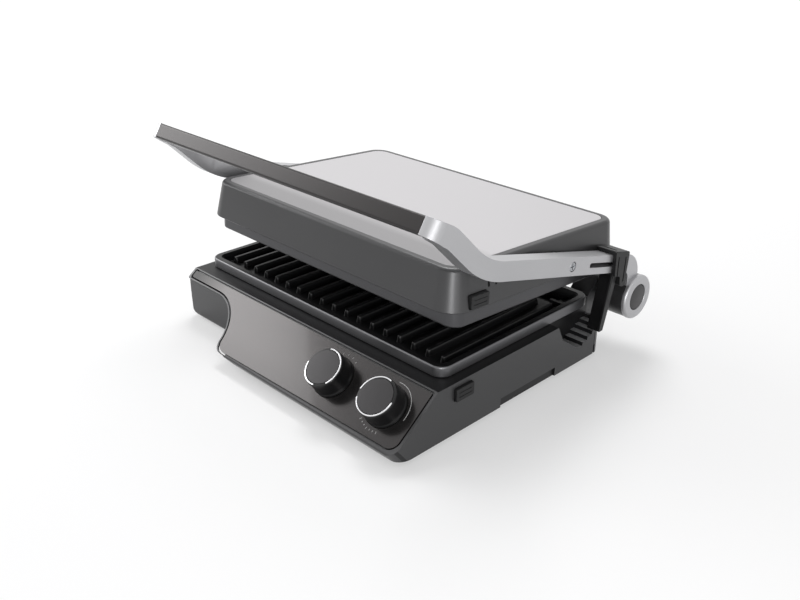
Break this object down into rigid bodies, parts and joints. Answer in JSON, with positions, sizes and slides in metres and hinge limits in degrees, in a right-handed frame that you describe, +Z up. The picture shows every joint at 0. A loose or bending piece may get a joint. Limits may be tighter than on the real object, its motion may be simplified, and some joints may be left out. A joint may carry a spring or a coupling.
{
  "type": "contact grill",
  "caption": "Countertop contact grill with ribbed plates, a floating lid on swinging arms, a stepped height rack, knobs and a pull-out drip tray.",
  "frame": {"origin": "centre of the outline's lowest face, where the rubber feet meet the counter", "axes": "+X to the user's right, +Y to the rear, +Z up, with the control slope facing -Y"},
  "size_m": [0.392, 0.338, 0.2117],
  "materials": {
    "housing": "satin graphite paint on moulded shell",
    "fascia": "glossy dark brushed look",
    "black_plastic": "fine moulded texture",
    "silver_casting": "satin silver",
    "painted_casting": "satin graphite paint on a zinc casting",
    "brushed_steel": "fine brushed",
    "handle_metal": "dark satin metallic",
    "grill_coating": "dark non-stick coating on cast aluminium",
    "dark_metal": "dark brushed metal",
    "zinc_steel": "zinc-plated steel",
    "rubber": "matt rubber",
    "aluminised_sheet": "aluminised sheet"
  },
  "bodies": {
    "base": {"base_housing": "housing", "base_bottom_cover": "black_plastic", "cord_gland": "black_plastic", "fascia_panel": "fascia", "foot_front_left": "rubber", "foot_front_right": "rubber", "foot_rear_left": "rubber", "foot_rear_right": "rubber", "lower_reflector_pan": "aluminised_sheet", "lower_heating_element": "dark_metal", "lower_button_spring": "zinc_steel", "temperature_switch": "zinc_steel", "timer_switch": "zinc_steel", "hinge_bracket_left": "painted_casting", "hinge_bracket_right": "painted_casting", "hinge_shaft_left": "zinc_steel", "hinge_shaft_right": "zinc_steel"},
    "hinge_core": {"hinge_core_left": "zinc_steel", "hinge_core_right": "zinc_steel", "hinge_drum_left": "painted_casting", "hinge_drum_right": "painted_casting", "hinge_cap_left": "silver_casting", "hinge_cap_right": "silver_casting", "hinge_button_spring_left": "zinc_steel", "hinge_button_spring_right": "zinc_steel"},
    "arms": {"arm_left": "silver_casting", "arm_right": "silver_casting", "handle_bar": "handle_metal", "pivot_screw_left": "zinc_steel", "pivot_screw_right": "zinc_steel"},
    "lid": {"lid_housing": "housing", "lid_top_panel": "brushed_steel", "pivot_boss_left": "black_plastic", "pivot_boss_right": "black_plastic", "upper_reflector_pan": "aluminised_sheet", "upper_heating_element": "dark_metal", "upper_button_spring": "zinc_steel"},
    "height_prop": {"height_prop": "black_plastic", "prop_pin": "zinc_steel"},
    "lower_plate": {"lower_grill_plate": "grill_coating"},
    "upper_plate": {"upper_grill_plate": "grill_coating"},
    "lower_release": {"lower_release_button": "black_plastic"},
    "upper_release": {"upper_release_button": "black_plastic"},
    "temperature_knob": {"temperature_knob_body": "black_plastic", "temperature_knob_ring": "silver_casting", "temperature_knob_cap": "dark_metal", "temperature_knob_spindle": "zinc_steel"},
    "timer_knob": {"timer_knob_body": "black_plastic", "timer_knob_ring": "silver_casting", "timer_knob_cap": "dark_metal", "timer_knob_spindle": "zinc_steel"},
    "hinge_release_left": {"hinge_release_button_left": "dark_metal"},
    "hinge_release_right": {"hinge_release_button_right": "dark_metal"},
    "drip_tray": {"drip_tray": "grill_coating", "drip_tray_front": "housing"}
  },
  "joints": [
    {"name": "hinge_opening", "type": "hinge", "parent": "base", "child": "hinge_core", "pos_m": [0, 0.14655, 0.058], "axis": [-1, 0, 0], "range_deg": [0, 135]},
    {"name": "arms_closing", "type": "hinge", "parent": "hinge_core", "child": "arms", "pos_m": [0, 0.14655, 0.058], "axis": [-1, 0, 0], "range_deg": [-11.2, 0]},
    {"name": "lid_float", "type": "hinge", "parent": "arms", "child": "lid", "pos_m": [0, 0.03635, 0.1224], "axis": [-1, 0, 0], "range_deg": [0, 7.8]},
    {"name": "prop_slide", "type": "slide", "parent": "arms", "child": "height_prop", "axis": [0, -0.9677, 0.2521], "range_m": [0, 0.033]},
    {"name": "lower_plate_lift", "type": "slide", "parent": "base", "child": "lower_plate", "axis": [0, 0, 1], "range_m": [0, 0.012]},
    {"name": "upper_plate_drop", "type": "slide", "parent": "lid", "child": "upper_plate", "axis": [0, -0.0593, -0.9982], "range_m": [0, 0.01]},
    {"name": "lower_release_press", "type": "slide", "parent": "base", "child": "lower_release", "axis": [-1, 0, 0], "range_m": [0, 0.0025], "stiffness_N_per_m": 600, "deforming": ["lower_button_spring"]},
    {"name": "upper_release_press", "type": "slide", "parent": "lid", "child": "upper_release", "axis": [-1, 0, 0], "range_m": [0, 0.0025], "stiffness_N_per_m": 600, "deforming": ["upper_button_spring"]},
    {"name": "temperature_knob_turn", "type": "hinge", "parent": "base", "child": "temperature_knob", "pos_m": [0.076, -0.14236, 0.03602], "axis": [0, 0.6157, -0.788], "range_deg": [0, 270]},
    {"name": "timer_knob_turn", "type": "hinge", "parent": "base", "child": "timer_knob", "pos_m": [0.142, -0.14236, 0.03602], "axis": [0, 0.6157, -0.788], "range_deg": [0, 300]},
    {"name": "hinge_release_left_press", "type": "slide", "parent": "hinge_core", "child": "hinge_release_left", "axis": [1, 0, 0], "range_m": [0, 0.003], "stiffness_N_per_m": 600, "deforming": ["hinge_button_spring_left"]},
    {"name": "hinge_release_right_press", "type": "slide", "parent": "hinge_core", "child": "hinge_release_right", "axis": [-1, 0, 0], "range_m": [0, 0.003], "stiffness_N_per_m": 600, "deforming": ["hinge_button_spring_right"]},
    {"name": "drip_tray_pull", "type": "slide", "parent": "base", "child": "drip_tray", "axis": [0, -1, 0], "range_m": [0, 0.18]}
  ],
  "couplings": [
    {"joint": "lid_float", "follows": "arms_closing", "ratio": -0.69643},
    {"joint": "prop_slide", "follows": "arms_closing", "m_per_rad": -0.16882}
  ]
}
